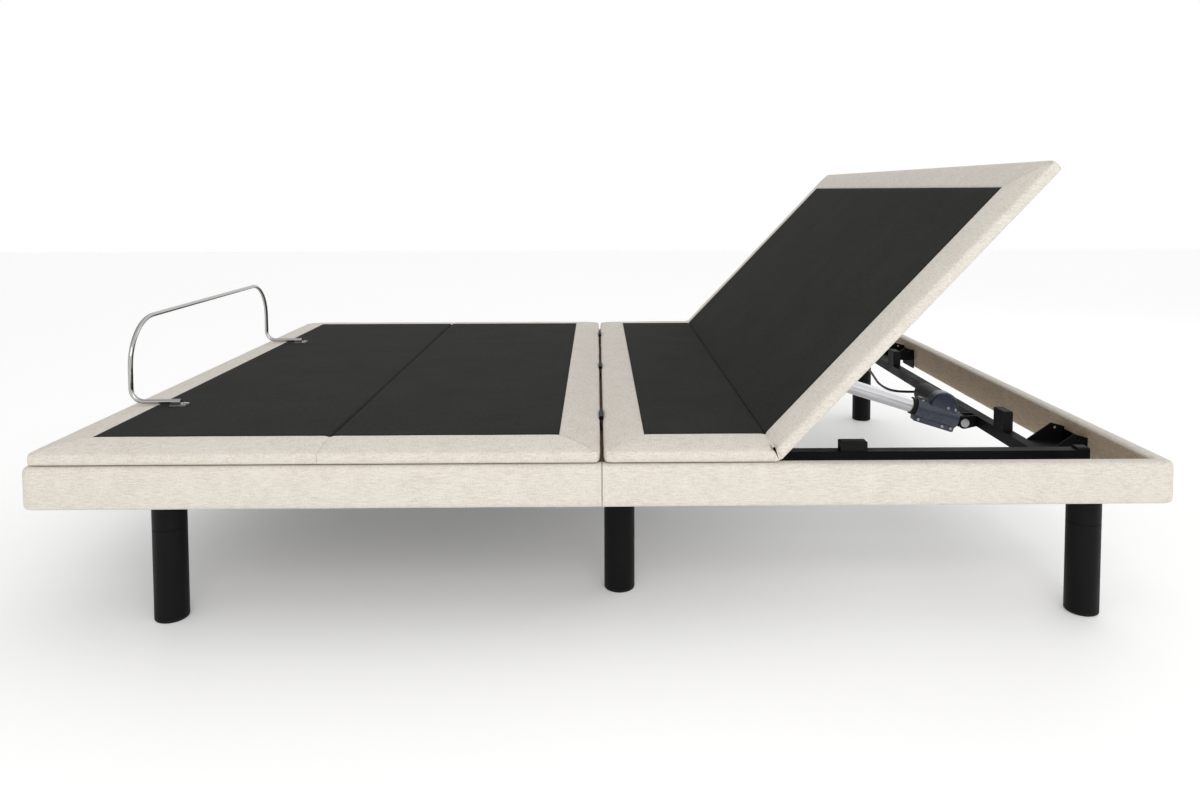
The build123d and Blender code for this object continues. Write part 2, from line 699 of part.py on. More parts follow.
HANGER_Y = LIFT_Y + 24 + 7
save_group("head_lift_frame", lift_frame(HEAD_LIFT_AXIS, [HEAD_KNEE], HEAD_ROLLER, HEAD_ROD_PIN, HEAD_MOTOR_Y))
save_group("head_lift_rollers", roller_pair(HEAD_ROLLER))
save_group("foot_lift_frame", lift_frame(FOOT_LIFT_AXIS, [], FOOT_ROLLER, FOOT_ROD_PIN, FOOT_MOTOR_Y))
save_group("foot_lift_rollers", roller_pair(FOOT_ROLLER))
hangers = []
for hand in (-1, 1):
    hangers.append(hanger(HEAD_LIFT_AXIS, MID_CROSS_X, hand * HANGER_Y, 8, 8 + RUN))
    hangers.append(hanger(FOOT_LIFT_AXIS, -MID_CROSS_X, hand * HANGER_Y, 8, 8 + RUN))


# ---- motors ---------------------------------------------------------------------------------------
CLEVIS_GAP = EYE_WIDE / 2 + 1
motor_plates = []
for hand in (-1, 1):
    y = HEAD_MOTOR_Y + hand * (CLEVIS_GAP + 3)
    with BuildPart() as cheek:
        with BuildSketch(side_plane(y)) as outline:
            with Locations(HEAD_MOTOR_PIN):
                Circle(15)
            with Locations((HEAD_CROSS_X - TUBE / 2 - 4, CROSS_Z + TUBE / 2)):
                Rectangle(8, TUBE)
            make_hull()
            with Locations(HEAD_MOTOR_PIN):
                Circle(MOTOR_PIN_R, mode=Mode.SUBTRACT)
        extrude(amount=3, both=True)
    motor_plates.append(cheek.part)
    y = FOOT_MOTOR_Y + hand * (CLEVIS_GAP + 3)
    motor_plates.append(hanger(FOOT_MOTOR_PIN, FOOT_CROSS_X, y, 6, MOTOR_PIN_R, 15))


def pivot_bolt(point, y):
    """A bolt with a domed head towards the near side and a nut at the far side."""
    reach = CLEVIS_GAP + 6
    bolt = pin(point[0], point[1], MOTOR_PIN_R, y - reach, y + reach + 8)
    bolt += pin(point[0], point[1], 10, y - reach - 5, y - reach)
    return bolt + pin(point[0], point[1], 10, y + reach, y + reach + 7)


pivot_bolts = [pivot_bolt(HEAD_MOTOR_PIN, HEAD_MOTOR_Y), pivot_bolt(FOOT_MOTOR_PIN, FOOT_MOTOR_Y)]
save_group("frame_bolts", joining_bolts + pivot_bolts)


def set_up(where):
    """Place a motor built along +X at its rear pin; where is head or foot."""
    if where == "head":
        spot = Pos(HEAD_MOTOR_PIN[0], HEAD_MOTOR_Y, HEAD_MOTOR_PIN[1])
        return spot * Rot(0, HEAD_MOTOR_TILT, 0) * Rot(0, 0, 180)
    tilt = degrees(atan2(FOOT_ROD_PIN[1] - FOOT_MOTOR_PIN[1], FOOT_ROD_PIN[0] - FOOT_MOTOR_PIN[0]))
    return Pos(FOOT_MOTOR_PIN[0], FOOT_MOTOR_Y, FOOT_MOTOR_PIN[1]) * Rot(0, -tilt, 0)


def rod_x(radius, x0, x1, bore=0):
    """A round bar or tube along X."""
    with BuildPart() as bar:
        with BuildSketch(Plane.YZ.offset(x0)):
            Circle(radius)
            if bore:
                Circle(bore, mode=Mode.SUBTRACT)
        extrude(amount=x1 - x0)
    return bar.part


def front_plate(front, depth, radius, x, z):
    """A disc facing the side, its front face at +Y front."""
    return pin(x, z, radius, front - depth, front)


def gear_housing():
    """The cast gear case: a barrel, two split flanges and a domed end for the worm."""
    case = rod_x(23, 16, 118)
    flange = box(16, 116, -8, 10, -32, 26)
    flange = fillet(flange.edges().filter_by(Axis.Y), 5)
    dome = front_plate(17, 34, 33, 56, 22)
    dome = chamfer(dome.edges().filter_by(GeomType.CIRCLE), 3)
    tongue = box(-0.01, 18, -EYE_WIDE / 2, EYE_WIDE / 2, -14, 14) + pin(0, 0, 14, -EYE_WIDE / 2, EYE_WIDE / 2)
    case = case + flange + dome + tongue
    return case - pin(0, 0, MOTOR_PIN_R + RUN, -20, 20) - rod_x(14, 100, 120)


def motor_can():
    """The motor, square to the drive, with a turned-in end."""
    can = pin(56, 24, 26, -118, -17)
    can = fillet(can.faces().sort_by(Axis.Y)[0].edges(), 5)
    return can


def rod_with_eye(length):
    """The travelling rod with the eye that hangs on the lever pin."""
    rod = rod_x(ROD_R, length - EYE_R - ROD_LENGTH, length - EYE_R + 3)
    eye = pin(length, 0, EYE_R, -EYE_WIDE / 2, EYE_WIDE / 2)
    return rod + eye - pin(length, 0, EYE_BORE, -EYE_WIDE, EYE_WIDE)


SWING = {"head": (HEAD_MOTOR_LENGTH, HEAD_MOTOR_TUBE),
         "foot": (hypot(FOOT_ROD_PIN[0] - FOOT_MOTOR_PIN[0], FOOT_ROD_PIN[1] - FOOT_MOTOR_PIN[1]),
                  FOOT_MOTOR_TUBE)}
for where, (length, tube_end) in SWING.items():
    spot = set_up(where)
    case = gear_housing()
    save(f"{where}_motor_gear_case", spot * case)
    outer = rod_x(16.75, 118, tube_end, 14)
    save(f"{where}_motor_outer_tube", spot * outer)
    collar = rod_x(20, 118.5, 127, 16.75)
    bush = rod_x(16.75, tube_end, tube_end + 7, ROD_R + RUN) + rod_x(14, tube_end - 20, tube_end, ROD_R + RUN)
    save_group(f"{where}_motor_can", [spot * (motor_can() - case), spot * collar, spot * bush])
    save(f"{where}_motor_rod", spot * rod_with_eye(length))


# ---- calf links -----------------------------------------------------------------------------------
CALF_FIXED = (THIGH_AXIS[0] + LINK_SHIFT[0], THIGH_AXIS[1] + LINK_SHIFT[1])
CALF_FREE = (KNEE_AXIS[0] + LINK_SHIFT[0], KNEE_AXIS[1] + LINK_SHIFT[1])
TAB_Y = SIDE_Y - TUBE / 2
TAB_GAP = 2.5
save_group("calf_links", [strap([CALF_FIXED, CALF_FREE], 24, hand * LINK_Y, 8,
                                [(*CALF_FIXED, 6 + RUN), (*CALF_FREE, 6 + RUN)]) for hand in (-1, 1)])


def tab(point, x_mid, z0, z1, hand, off=0.0):
    """A pivot tab with its pin; the plate spans x_mid between z0 and z1 and reaches the point."""
    a, b = sorted((hand * (TAB_Y - off), hand * (TAB_Y - off - 5)))
    with BuildPart() as plate:
        with BuildSketch(side_plane(b)):
            with Locations(point):
                Circle(13)
            with Locations((x_mid, (z0 + z1) / 2)):
                Rectangle(50, z1 - z0)
            make_hull()
        extrude(amount=b - a)
    p0, p1 = sorted((hand * (TAB_Y - off - 5), hand * (LINK_Y - 9)))
    h0, h1 = sorted((hand * (LINK_Y - 5), hand * (LINK_Y - 9)))
    return plate.part + pin(*point, 6, p0, p1) + pin(*point, 9, h0, h1)


frame_tabs = []
panel_tabs = []
for hand in (-1, 1):
    frame_tabs.append(tab(CALF_FIXED, CALF_FIXED[0], SIDE_Z + 1, SIDE_Z + 11, hand))
    foot_tab = tab(CALF_FREE, CALF_FREE[0], PANEL_BOTTOM - 12, PANEL_BOTTOM, hand, TAB_GAP)
    f0, f1 = sorted((hand * (TAB_Y - TAB_GAP), hand * (TAB_Y - 34)))
    foot_tab += box(CALF_FREE[0] - 25, CALF_FREE[0] + 25, f0, f1, PANEL_BOTTOM - LEAF, PANEL_BOTTOM)
    panel_tabs.append(foot_tab)
save_group("frame_hangers", hangers + motor_plates + frame_tabs)
save_group("calf_panel_tabs", panel_tabs)


# ---- mattress retainer ----------------------------------------------------------------------------
BAR_FOOT_Z = PANEL_TOP + 3 + RETAINER_R
FOOT_BEND = 28
LOOP_BEND = 98
with BuildPart() as retainer:
    with BuildLine(Plane(origin=(RETAINER_X, 0, 0), x_dir=(0, 1, 0), z_dir=(1, 0, 0))) as loop:
        Polyline((RETAINER_YS[0], BAR_FOOT_Z + FOOT_BEND), (RETAINER_YS[0], RETAINER_TOP),
                 (RETAINER_YS[1], RETAINER_TOP), (RETAINER_YS[1], BAR_FOOT_Z + FOOT_BEND))
        fillet([v for v in loop.vertices() if v.Z > RETAINER_TOP - 1], LOOP_BEND)
    with BuildSketch(Plane(origin=(RETAINER_X, RETAINER_YS[0], BAR_FOOT_Z + FOOT_BEND), z_dir=(0, 0, 1))):
        Circle(RETAINER_R)
    sweep(path=loop.wires()[0])
    for y in RETAINER_YS:
        with BuildLine(side_plane(y)) as foot:
            Polyline((RETAINER_X, BAR_FOOT_Z + FOOT_BEND), (RETAINER_X, BAR_FOOT_Z), (RETAINER_X + 104, BAR_FOOT_Z))
            fillet([v for v in foot.vertices() if v.X < RETAINER_X + 1 and v.Z < BAR_FOOT_Z + 1], FOOT_BEND - 1)
        with BuildSketch(Plane(origin=(RETAINER_X, y, BAR_FOOT_Z + FOOT_BEND), z_dir=(0, 0, -1))):
            Circle(RETAINER_R)
        sweep(path=foot.wires()[0])
save("mattress_retainer_bar", retainer.part)

tabs = []
for y in RETAINER_YS:
    x = RETAINER_X + 92
    base = box(x - 10, x + 26, y - 12, y + 12, PANEL_TOP, PANEL_TOP + 3)
    tabs.append(fillet(base.edges().filter_by(Axis.Z), 5))
    with BuildPart() as screw:
        with BuildSketch(Plane.XY.offset(PANEL_TOP + 3)):
            with Locations((x + 20, y)):
                Circle(4.5)
        extrude(amount=2.8)
        chamfer(screw.faces().sort_by(Axis.Z)[-1].edges(), 1.2)
    tabs.append(screw.part)
save_group("retainer_tabs", tabs)


# ---- control box ----------------------------------------------------------------------------------
BOX_X = (110, 246)
BOX_Y = (-95, 95)
BOX_Z = PANEL_BOTTOM - 46
with BuildPart() as control:
    with BuildSketch(Plane.XY.offset(BOX_Z)):
        with Locations((sum(BOX_X) / 2, 0)):
            RectangleRounded(BOX_X[1] - BOX_X[0], BOX_Y[1] - BOX_Y[0], 8)
    extrude(amount=PANEL_BOTTOM - BOX_Z)
    fillet(control.faces().sort_by(Axis.Z)[0].edges(), 4)
    with BuildSketch(Plane(origin=(sum(BOX_X) / 2, BOX_Y[0], BOX_Z + 24), x_dir=(1, 0, 0), z_dir=(0, -1, 0))):
        Rectangle(28, 21)
    extrude(amount=-16, mode=Mode.SUBTRACT)
    with BuildSketch(Plane(origin=(sum(BOX_X) / 2, BOX_Y[0] + 16, BOX_Z + 24), x_dir=(1, 0, 0), z_dir=(0, -1, 0))):
        with GridLocations(7, 0, 3, 1):
            Rectangle(2, 4)
    extrude(amount=12)
save("control_box", control.part)


# ---- motor cables ---------------------------------------------------------------------------------
CABLE_R = 3.2


def cable(points, start_way):
    """A round cable along a run of points, with rounded corners."""
    with BuildPart() as cord:
        with BuildLine() as path:
            Polyline(*points)
        with BuildSketch(Plane(origin=points[0], z_dir=start_way)):
            Circle(CABLE_R)
        sweep(path=path.wires()[0], transition=Transition.ROUND)
    return cord.part


def motor_plug(where):
    """The point in the end of a motor where its cable leaves."""
    spot = (set_up(where) * Pos(56, -118, 24)).position
    return (spot.X, spot.Y, spot.Z)


plug = motor_plug("head")
save("head_motor_cable", cable([plug, (plug[0], plug[1] + 16, plug[2]), (790, -80, 272), (766, 0, 256),
                                (766, 100, 251), (790, 220, 247), (812, 340, 246), (760, 440, 245),
                                (600, 440, 240), (400, 250, 248), (290, 70, 280), (270, 60, 284),
                                (BOX_X[1], 60, 284)], (0, 1, 0)))
plug = motor_plug("foot")
save("foot_motor_cable", cable([plug, (plug[0], plug[1] - 16, plug[2]), (-620, 44, 226), (-500, 36, 232),
                                (-330, 36, 236), (-160, 38, 232), (-80, 40, 218.5), (60, 40, 218.5),
                                (112, 40, 226), (130, 40, 240), (130, 40, BOX_Z)], (0, -1, 0)))
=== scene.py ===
"""Looks for the adjustable bed base: upholstery, fabric, steel finishes, cables, light and camera."""
import json
import math

import bmesh
import bpy
import numpy as np
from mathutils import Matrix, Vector, noise
from mathutils.kdtree import KDTree


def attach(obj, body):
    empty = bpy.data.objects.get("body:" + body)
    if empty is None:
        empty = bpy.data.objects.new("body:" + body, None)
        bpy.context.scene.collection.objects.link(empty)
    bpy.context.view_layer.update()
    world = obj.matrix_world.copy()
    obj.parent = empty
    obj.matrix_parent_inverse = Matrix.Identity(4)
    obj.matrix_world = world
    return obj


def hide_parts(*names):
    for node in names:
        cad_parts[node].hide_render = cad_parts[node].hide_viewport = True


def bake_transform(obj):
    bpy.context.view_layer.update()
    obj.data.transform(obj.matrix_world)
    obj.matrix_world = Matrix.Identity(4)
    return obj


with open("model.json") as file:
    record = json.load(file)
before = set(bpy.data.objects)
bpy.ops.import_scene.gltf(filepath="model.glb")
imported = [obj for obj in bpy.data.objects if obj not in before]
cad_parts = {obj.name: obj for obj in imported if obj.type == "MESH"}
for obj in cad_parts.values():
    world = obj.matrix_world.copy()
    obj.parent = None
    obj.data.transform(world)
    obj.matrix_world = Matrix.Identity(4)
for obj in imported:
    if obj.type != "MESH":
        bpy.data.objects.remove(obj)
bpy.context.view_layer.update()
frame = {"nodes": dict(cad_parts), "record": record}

# ---- sizes in metres, as in the CAD ---------------------------------------------------------------
HALF_L = 1.016
HALF_W = 0.762
RAIL_BOTTOM = 0.229
RAIL_TOP = 0.305
RAIL_THICK = 0.030
PANEL_BOTTOM = 0.306
PANEL_TOP = 0.336
PANEL_HALF = 0.756
BORDER = 0.080
END_BORDER = 0.076
MAT_HALF = PANEL_HALF - BORDER
REST_ANGLE = math.radians(46.5)
HEAD_AXIS = (0.305, 0.328)
PAD_CORNER = 0.012
RAIL_CORNER = 0.016
RAIL_JOINT_GAP = 0.0006
CABLE_RADIUS = 0.0032
# where each panel's border starts (its seam) and ends, along X
PANELS = {
    "foot": (-0.5003, -1.010),
    "thigh": (-0.4997, -0.003),
    "seat": (0.3045, 0.003),
    "head": (0.3055, 1.010),
}
BODY_OF = {"foot": "foot_panel", "thigh": "thigh_panel", "seat": "base", "head": "head_panel"}

# edges steeper than this stay hard; edges steeper than the second are eased with a small bevel
HARD_EDGE = math.radians(32)
EASED_EDGE = math.radians(40)


# ---- material helpers -----------------------------------------------------------------------------
def new_material(name, color, roughness, metallic=0.0, **inputs):
    """A Principled material; inputs are its other sockets by name."""
    mat = bpy.data.materials.new(name)
    mat.use_nodes = True
    shader = mat.node_tree.nodes["Principled BSDF"]
    shader.inputs["Base Color"].default_value = (*color, 1)
    shader.inputs["Roughness"].default_value = roughness
    shader.inputs["Metallic"].default_value = metallic
    for key, value in inputs.items():
        shader.inputs[key.replace("_", " ")].default_value = value
    mat.diffuse_color = (*color, 1)
    return mat, mat.node_tree, shader


def node(tree, kind, **values):
    """A node with its properties and inputs set."""
    made = tree.nodes.new(kind)
    for key, value in values.items():
        if key.startswith("in_"):
            made.inputs[int(key[3:])].default_value = value
        elif hasattr(made, key):
            setattr(made, key, value)
        else:
            made.inputs[key.replace("_", " ")].default_value = value
    return made


def mapped(tree, scale=(1, 1, 1), turn=(0, 0, 0)):
    """Object coordinates, scaled and turned."""
    coords = node(tree, "ShaderNodeTexCoord")
    mapping = node(tree, "ShaderNodeMapping")
    mapping.inputs["Scale"].default_value = scale
    mapping.inputs["Rotation"].default_value = turn
    tree.links.new(coords.outputs["Object"], mapping.inputs["Vector"])
    return mapping.outputs["Vector"]


def noise_at(tree, vector, scale, detail=3.0, rough=0.55):
    """Noise from 0 to 1 at those coordinates."""
    made = node(tree, "ShaderNodeTexNoise", Scale=scale, Detail=detail, Roughness=rough)
    tree.links.new(vector, made.inputs["Vector"])
    return made.outputs["Fac"]


def math_node(tree, kind, a, b):
    """One sum; a and b are numbers or sockets."""
    made = node(tree, "ShaderNodeMath", operation=kind)
    for i, value in enumerate((a, b)):
        if isinstance(value, (int, float)):
            made.inputs[i].default_value = value
        else:
            tree.links.new(value, made.inputs[i])
    return made.outputs[0]


def weighted(tree, *parts):
    """The sum of sockets, each times its weight, given as (socket, weight) pairs."""
    total = None
    for value, weight in parts:
        term = math_node(tree, "MULTIPLY", value, weight)
        total = term if total is None else math_node(tree, "ADD", total, term)
    return total


def ramp(tree, fac, stops):
    """Colours at places from 0 to 1, blended between."""
    made = node(tree, "ShaderNodeValToRGB")
    first, last = made.color_ramp.elements[0], made.color_ramp.elements[-1]
    first.position, last.position = stops[0][0], stops[-1][0]
    first.color, last.color = (*stops[0][1], 1), (*stops[-1][1], 1)
    for place, color in stops[1:-1]:
        made.color_ramp.elements.new(place).color = (*color, 1)
    tree.links.new(fac, made.inputs["Fac"])
    return made.outputs["Color"]


def bump(tree, shader, height, strength, distance):
    """Fine relief on a shader's normal."""
    made = node(tree, "ShaderNodeBump", Strength=strength, Distance=distance)
    tree.links.new(height, made.inputs["Height"])
    tree.links.new(made.outputs["Normal"], shader.inputs["Normal"])


def weave(tree, thread, run):
    """Height of a plain cloth: short uneven threads of that width and run, in metres, both ways."""
    fine, long = 1 / thread, 1 / run
    warp = noise_at(tree, mapped(tree, (long, fine, fine)), 1.0, 2.0, 0.6)
    weft = noise_at(tree, mapped(tree, (fine, long, fine)), 1.0, 2.0, 0.6)
    return math_node(tree, "MULTIPLY", math_node(tree, "ADD", warp, weft), 0.5)


def linen(name, low, mid, high, seed=0.0):
    """Natural linen in three shades of thread."""
    mat, tree, shader = new_material(name, mid, 0.92, Sheen_Weight=0.08, Sheen_Roughness=0.5,
                                     Specular_IOR_Level=0.25)
    threads = weave(tree, 0.0021, 0.017)
    fleck = noise_at(tree, mapped(tree, turn=(0.3, 0.2, seed)), 260.0, 2.0, 0.6)
    cloud = noise_at(tree, mapped(tree, turn=(0.1, 0.5, seed)), 22.0, 3.0, 0.55)
    fine = noise_at(tree, mapped(tree), 900.0, 2.0, 0.6)
    mix = weighted(tree, (threads, 0.74), (fleck, 0.14), (cloud, 0.12))
    shades = ramp(tree, mix, [(0.38, low), (0.5, mid), (0.62, high)])
    tree.links.new(shades, shader.inputs["Base Color"])
    height = math_node(tree, "ADD", threads, math_node(tree, "MULTIPLY", fine, 0.6))
    bump(tree, shader, height, 0.35, 0.0008)
    return mat


def black_cloth(name, dark, light, thread):
    """Matt black cloth with threads of that width, in metres."""
    mat, tree, shader = new_material(name, dark, 0.95, Specular_IOR_Level=0.12)
    threads = weave(tree, thread, thread * 3)
    cloud = noise_at(tree, mapped(tree, turn=(0.2, 0.4, 0.9)), 7.0, 5.0, 0.7)
    dust = noise_at(tree, mapped(tree), 160.0, 3.0, 0.7)
    mix = weighted(tree, (threads, 0.4), (cloud, 0.25), (dust, 0.35))
    tree.links.new(ramp(tree, mix, [(0.36, dark), (0.66, light)]), shader.inputs["Base Color"])
    bump(tree, shader, threads, 0.25, 0.0005)
    return mat


def coated_steel(name, color, roughness, grain=900.0, strength=0.12, shine=0.3):
    """Painted or moulded surface with a fine grain and uneven gloss."""
    mat, tree, shader = new_material(name, color, roughness, Specular_IOR_Level=shine)
    speck = noise_at(tree, mapped(tree), grain, 2.0, 0.5)
    soft = noise_at(tree, mapped(tree), 9.0, 4.0, 0.6)
    dark, light = (tuple(c * change for c in color) for change in (0.75, 1.35))
    tree.links.new(ramp(tree, soft, [(0.3, dark), (0.7, light)]), shader.inputs["Base Color"])
    rough = node(tree, "ShaderNodeMapRange", in_1=0.3, in_2=0.7,
                 in_3=roughness - 0.07, in_4=roughness + 0.1)
    tree.links.new(soft, rough.inputs[0])
    tree.links.new(rough.outputs[0], shader.inputs["Roughness"])
    bump(tree, shader, speck, strength, 0.0004)
    return mat


def bright_metal(name, color, roughness, contrast=0.08, dent=0.04):
    """Bare metal; contrast is how uneven its gloss is, dent the strength of its relief."""
    mat, tree, shader = new_material(name, color, roughness, 1.0)
    lines = noise_at(tree, mapped(tree), 60.0, 3.0, 0.6)
    rough = node(tree, "ShaderNodeMapRange", in_1=0.3, in_2=0.7,
                 in_3=max(0.03, roughness - contrast), in_4=roughness + contrast)
    tree.links.new(lines, rough.inputs[0])
    tree.links.new(rough.outputs[0], shader.inputs["Roughness"])
    if dent:
        bump(tree, shader, lines, dent, 0.0003)
    return mat


def timber(name, dark, light, along="x"):
    """Wood with its grain along X or Y."""
    mat, tree, shader = new_material(name, light, 0.7)
    stretch = {"x": (1.2, 30, 30), "y": (30, 1.2, 30)}[along]
    grain = noise_at(tree, mapped(tree, stretch), 6.0, 6.0, 0.7)
    pores = noise_at(tree, mapped(tree, tuple(3 * s for s in stretch)), 12.0, 2.0, 0.5)
    mix = weighted(tree, (grain, 0.8), (pores, 0.25))
    tree.links.new(ramp(tree, mix, [(0.35, dark), (0.7, light)]), shader.inputs["Base Color"])
    bump(tree, shader, mix, 0.2, 0.0006)
    return mat


LINEN = linen("linen", (0.575, 0.525, 0.455), (0.685, 0.64, 0.575), (0.76, 0.725, 0.67))
# a darker copy of the linen for the end borders beyond the mitre lines: painted shade, the same cloth in
# less light
LINEN_END_PAINTED_SHADE = linen("linen_end_painted_shade", (0.545, 0.495, 0.43), (0.635, 0.59, 0.53),
                     (0.71, 0.675, 0.62), 0.7)
# a darker, browner copy of the linen for the rail's inner faces: painted shade, the same cloth in the
# shadow inside the rail
LINEN_INNER_PAINTED_SHADE = linen("linen_inner_painted_shade", (0.43, 0.325, 0.215), (0.58, 0.455, 0.32),
                    (0.71, 0.59, 0.45), 1.1)
TOP_CLOTH = black_cloth("non_slip_fabric", (0.0165, 0.0165, 0.0150), (0.0335, 0.0335, 0.0310), 0.0013)
DUST_CLOTH = black_cloth("dust_cover", (0.008, 0.008, 0.008), (0.02, 0.02, 0.02), 0.0008)
BLACK_STEEL = coated_steel("black_steel", (0.004, 0.004, 0.0045), 0.5, shine=0.08)
LEG_STEEL = coated_steel("leg_steel", (0.004, 0.004, 0.004), 0.5, shine=0.12)
RUBBER = coated_steel("rubber", (0.006, 0.006, 0.006), 0.62, 500.0, 0.2, 0.2)
ZINC = bright_metal("zinc_steel", (0.40, 0.40, 0.41), 0.38)
CHROME = bright_metal("chrome_bar", (0.46, 0.45, 0.44), 0.14, contrast=0.05)
CASTING = coated_steel("grey_casting", (0.030, 0.037, 0.060), 0.26, 1500.0, 0.1, 0.6)
SILVER = bright_metal("silver_tube", (0.66, 0.66, 0.68), 0.30, contrast=0.02, dent=0)
PLASTIC = coated_steel("black_plastic", (0.004, 0.004, 0.0045), 0.5, 1800.0, 0.18, 0.18)
NYLON = coated_steel("nylon", (0.62, 0.60, 0.55), 0.45, 700.0, 0.08)
PLY = timber("plywood", (0.36, 0.24, 0.14), (0.62, 0.47, 0.31))
BOARD = timber("board", (0.13, 0.07, 0.035), (0.26, 0.15, 0.085), "y")
BOARD_X = timber("rail_board", (0.36, 0.24, 0.14), (0.55, 0.42, 0.28))

FINISH = {
    "black_steel": BLACK_STEEL, "linen": LINEN, "non_slip_fabric": TOP_CLOTH, "dust_cover": DUST_CLOTH,
    "plywood": PLY, "board": BOARD, "rubber": RUBBER, "zinc_steel": ZINC, "chrome_bar": CHROME,
    "grey_casting": CASTING, "silver_tube": SILVER, "black_plastic": PLASTIC, "nylon": NYLON,
}
SLOT_OF = {row["node"]: row["material_slot"] for row in frame["record"]["subparts"]}
# width of the bevel on each node's edges
SOFT_EDGES = {
    "head_frame_tubes": 0.0022, "foot_frame_tubes": 0.0022, "head_end_brackets": 0.0006,
    "foot_end_brackets": 0.0006, "legs_foot": 0.0006, "legs_centre": 0.0006, "legs_head": 0.0006,
    "rest_blocks": 0.0012, "frame_hangers": 0.0008, "head_lift_frame": 0.001, "foot_lift_frame": 0.001,
    "head_motor_gear_case": 0.0004, "foot_motor_gear_case": 0.0004, "calf_links": 0.001,
    "calf_panel_tabs": 0.0007, "retainer_tabs": 0.0005, "control_box": 0.0006, "frame_bolts": 0.0006,
    "head_panel_battens": 0.0012, "thigh_panel_battens": 0.0012, "foot_panel_battens": 0.0012,
    "head_motor_outer_tube": 0.0006, "head_motor_rod": 0.001, "foot_motor_rod": 0.001,
    "rail_clips": 0.0005, "head_motor_can": 0.0008, "foot_motor_can": 0.0008,
}


def dress(name, obj):
    """A CAD node's finish, with its hard edges eased so that they catch the light."""
    finish = FINISH[SLOT_OF[name]]
    if name in ("head_rail_boards", "foot_rail_boards"):
        finish = BOARD_X
    if name.startswith("legs_"):
        finish = LEG_STEEL
    obj.data.materials.clear()
    obj.data.materials.append(finish)
    obj.data.shade_smooth()
    obj.data.set_sharp_from_angle(angle=HARD_EDGE)
    if name in SOFT_EDGES:
        soft = obj.modifiers.new("ease", "BEVEL")
        soft.width = SOFT_EDGES[name]
        soft.segments = 2
        soft.limit_method = "ANGLE"
        soft.angle_limit = EASED_EDGE
        soft.harden_normals = True


for node_name, node_obj in frame["nodes"].items():
    dress(node_name, node_obj)


# ---- mesh helpers ---------------------------------------------------------------------------------
def mesh_object(name, verts, faces, material, smooth=True):
    """A new object from points and faces, with doubled points merged."""
    data = bpy.data.meshes.new(name)
    data.from_pydata([tuple(map(float, v)) for v in verts], [], faces)
    data.materials.append(material)
    data.validate()
    built = bmesh.new()
    built.from_mesh(data)
    bmesh.ops.remove_doubles(built, verts=built.verts, dist=1e-5)
    bmesh.ops.recalc_face_normals(built, faces=built.faces)
    built.to_mesh(data)
    built.free()
    for face in data.polygons:
        face.use_smooth = smooth
    made = bpy.data.objects.new(name, data)
    bpy.context.scene.collection.objects.link(made)
    return made


def raised(verts):
    """Points of the head panel, modelled flat, turned up to the rest angle."""
    pts = np.array(verts, float)
    x, z = pts[:, 0] - HEAD_AXIS[0], pts[:, 2] - HEAD_AXIS[1]
    c, s = math.cos(REST_ANGLE), math.sin(REST_ANGLE)
    pts[:, 0], pts[:, 2] = HEAD_AXIS[0] + x * c - z * s, HEAD_AXIS[1] + x * s + z * c
    return pts


def rumple(p, scale, amount, seed):
    """A soft smooth displacement value at a point."""
    return amount * noise.noise(Vector((p[0] * scale + seed, p[1] * scale - seed, p[2] * scale * 1.7)))


def straight_steps(length, fine_start, fine_end, step=0.012):
    """Distances along a run, closer together near a corner or seam."""
    fine = [0, 0.001, 0.0022, 0.004, 0.0065, 0.011]
    stops = list(np.linspace(0, length, max(2, int(length / step))))
    if fine_start:
        stops = [f for f in fine if f < length / 2] + [s for s in stops if s > fine[-1] + 0.004]
    if fine_end:
        stops = [s for s in stops if s < length - fine[-1] - 0.004] + [length - f for f in fine[::-1]]
    return stops


def border_rings(x_seam, x_end, half, corner, insets, end_scale, arc=7):
    """For each inset, the points of an open U from the seam round the far end and back.

    Every ring has the same number of points, so that neighbours join into faces. Each point comes with
    its distance from the nearest mitre line and from the seam."""
    way = 1 if x_end > x_seam else -1
    side_len = abs(x_end - x_seam) - corner
    end_len = 2 * (half - corner)
    side = straight_steps(side_len, True, True)
    end = straight_steps(end_len, True, True)
    rings = []
    for d in insets:
        de = d * end_scale
        extra_s = max(d - corner, 0)
        extra_e = max(de - corner, 0)
        r = max(corner - d, 0.0004)
        ring = []
        stop_x = side_len - extra_e
        for s in side:
            x = x_seam + way * (s / side_len) * stop_x
            ring.append((x, -half + d, abs(stop_x - s / side_len * stop_x), s / side_len * stop_x))
        cx, cy = x_end - way * (corner + extra_e), -half + corner + extra_s
        for k in range(1, arc):
            a = math.pi / 2 * k / arc
            ring.append((cx + way * r * math.sin(a), cy - r * math.cos(a), 0, 1))
        for e in end:
            span = end_len - 2 * extra_s
            y = -half + corner + extra_s + span * e / end_len
            t = span * e / end_len
            ring.append((x_end - way * de, y, min(t, span - t), 1))
        for k in range(1, arc):
            a = math.pi / 2 * (1 - k / arc)
            ring.append((cx + way * r * math.sin(a), -cy + r * math.cos(a), 0, 1))
        for s in reversed(side):
            x = x_seam + way * (s / side_len) * stop_x
            ring.append((x, half - d, abs(stop_x - s / side_len * stop_x), s / side_len * stop_x))
        rings.append(ring)
    return rings


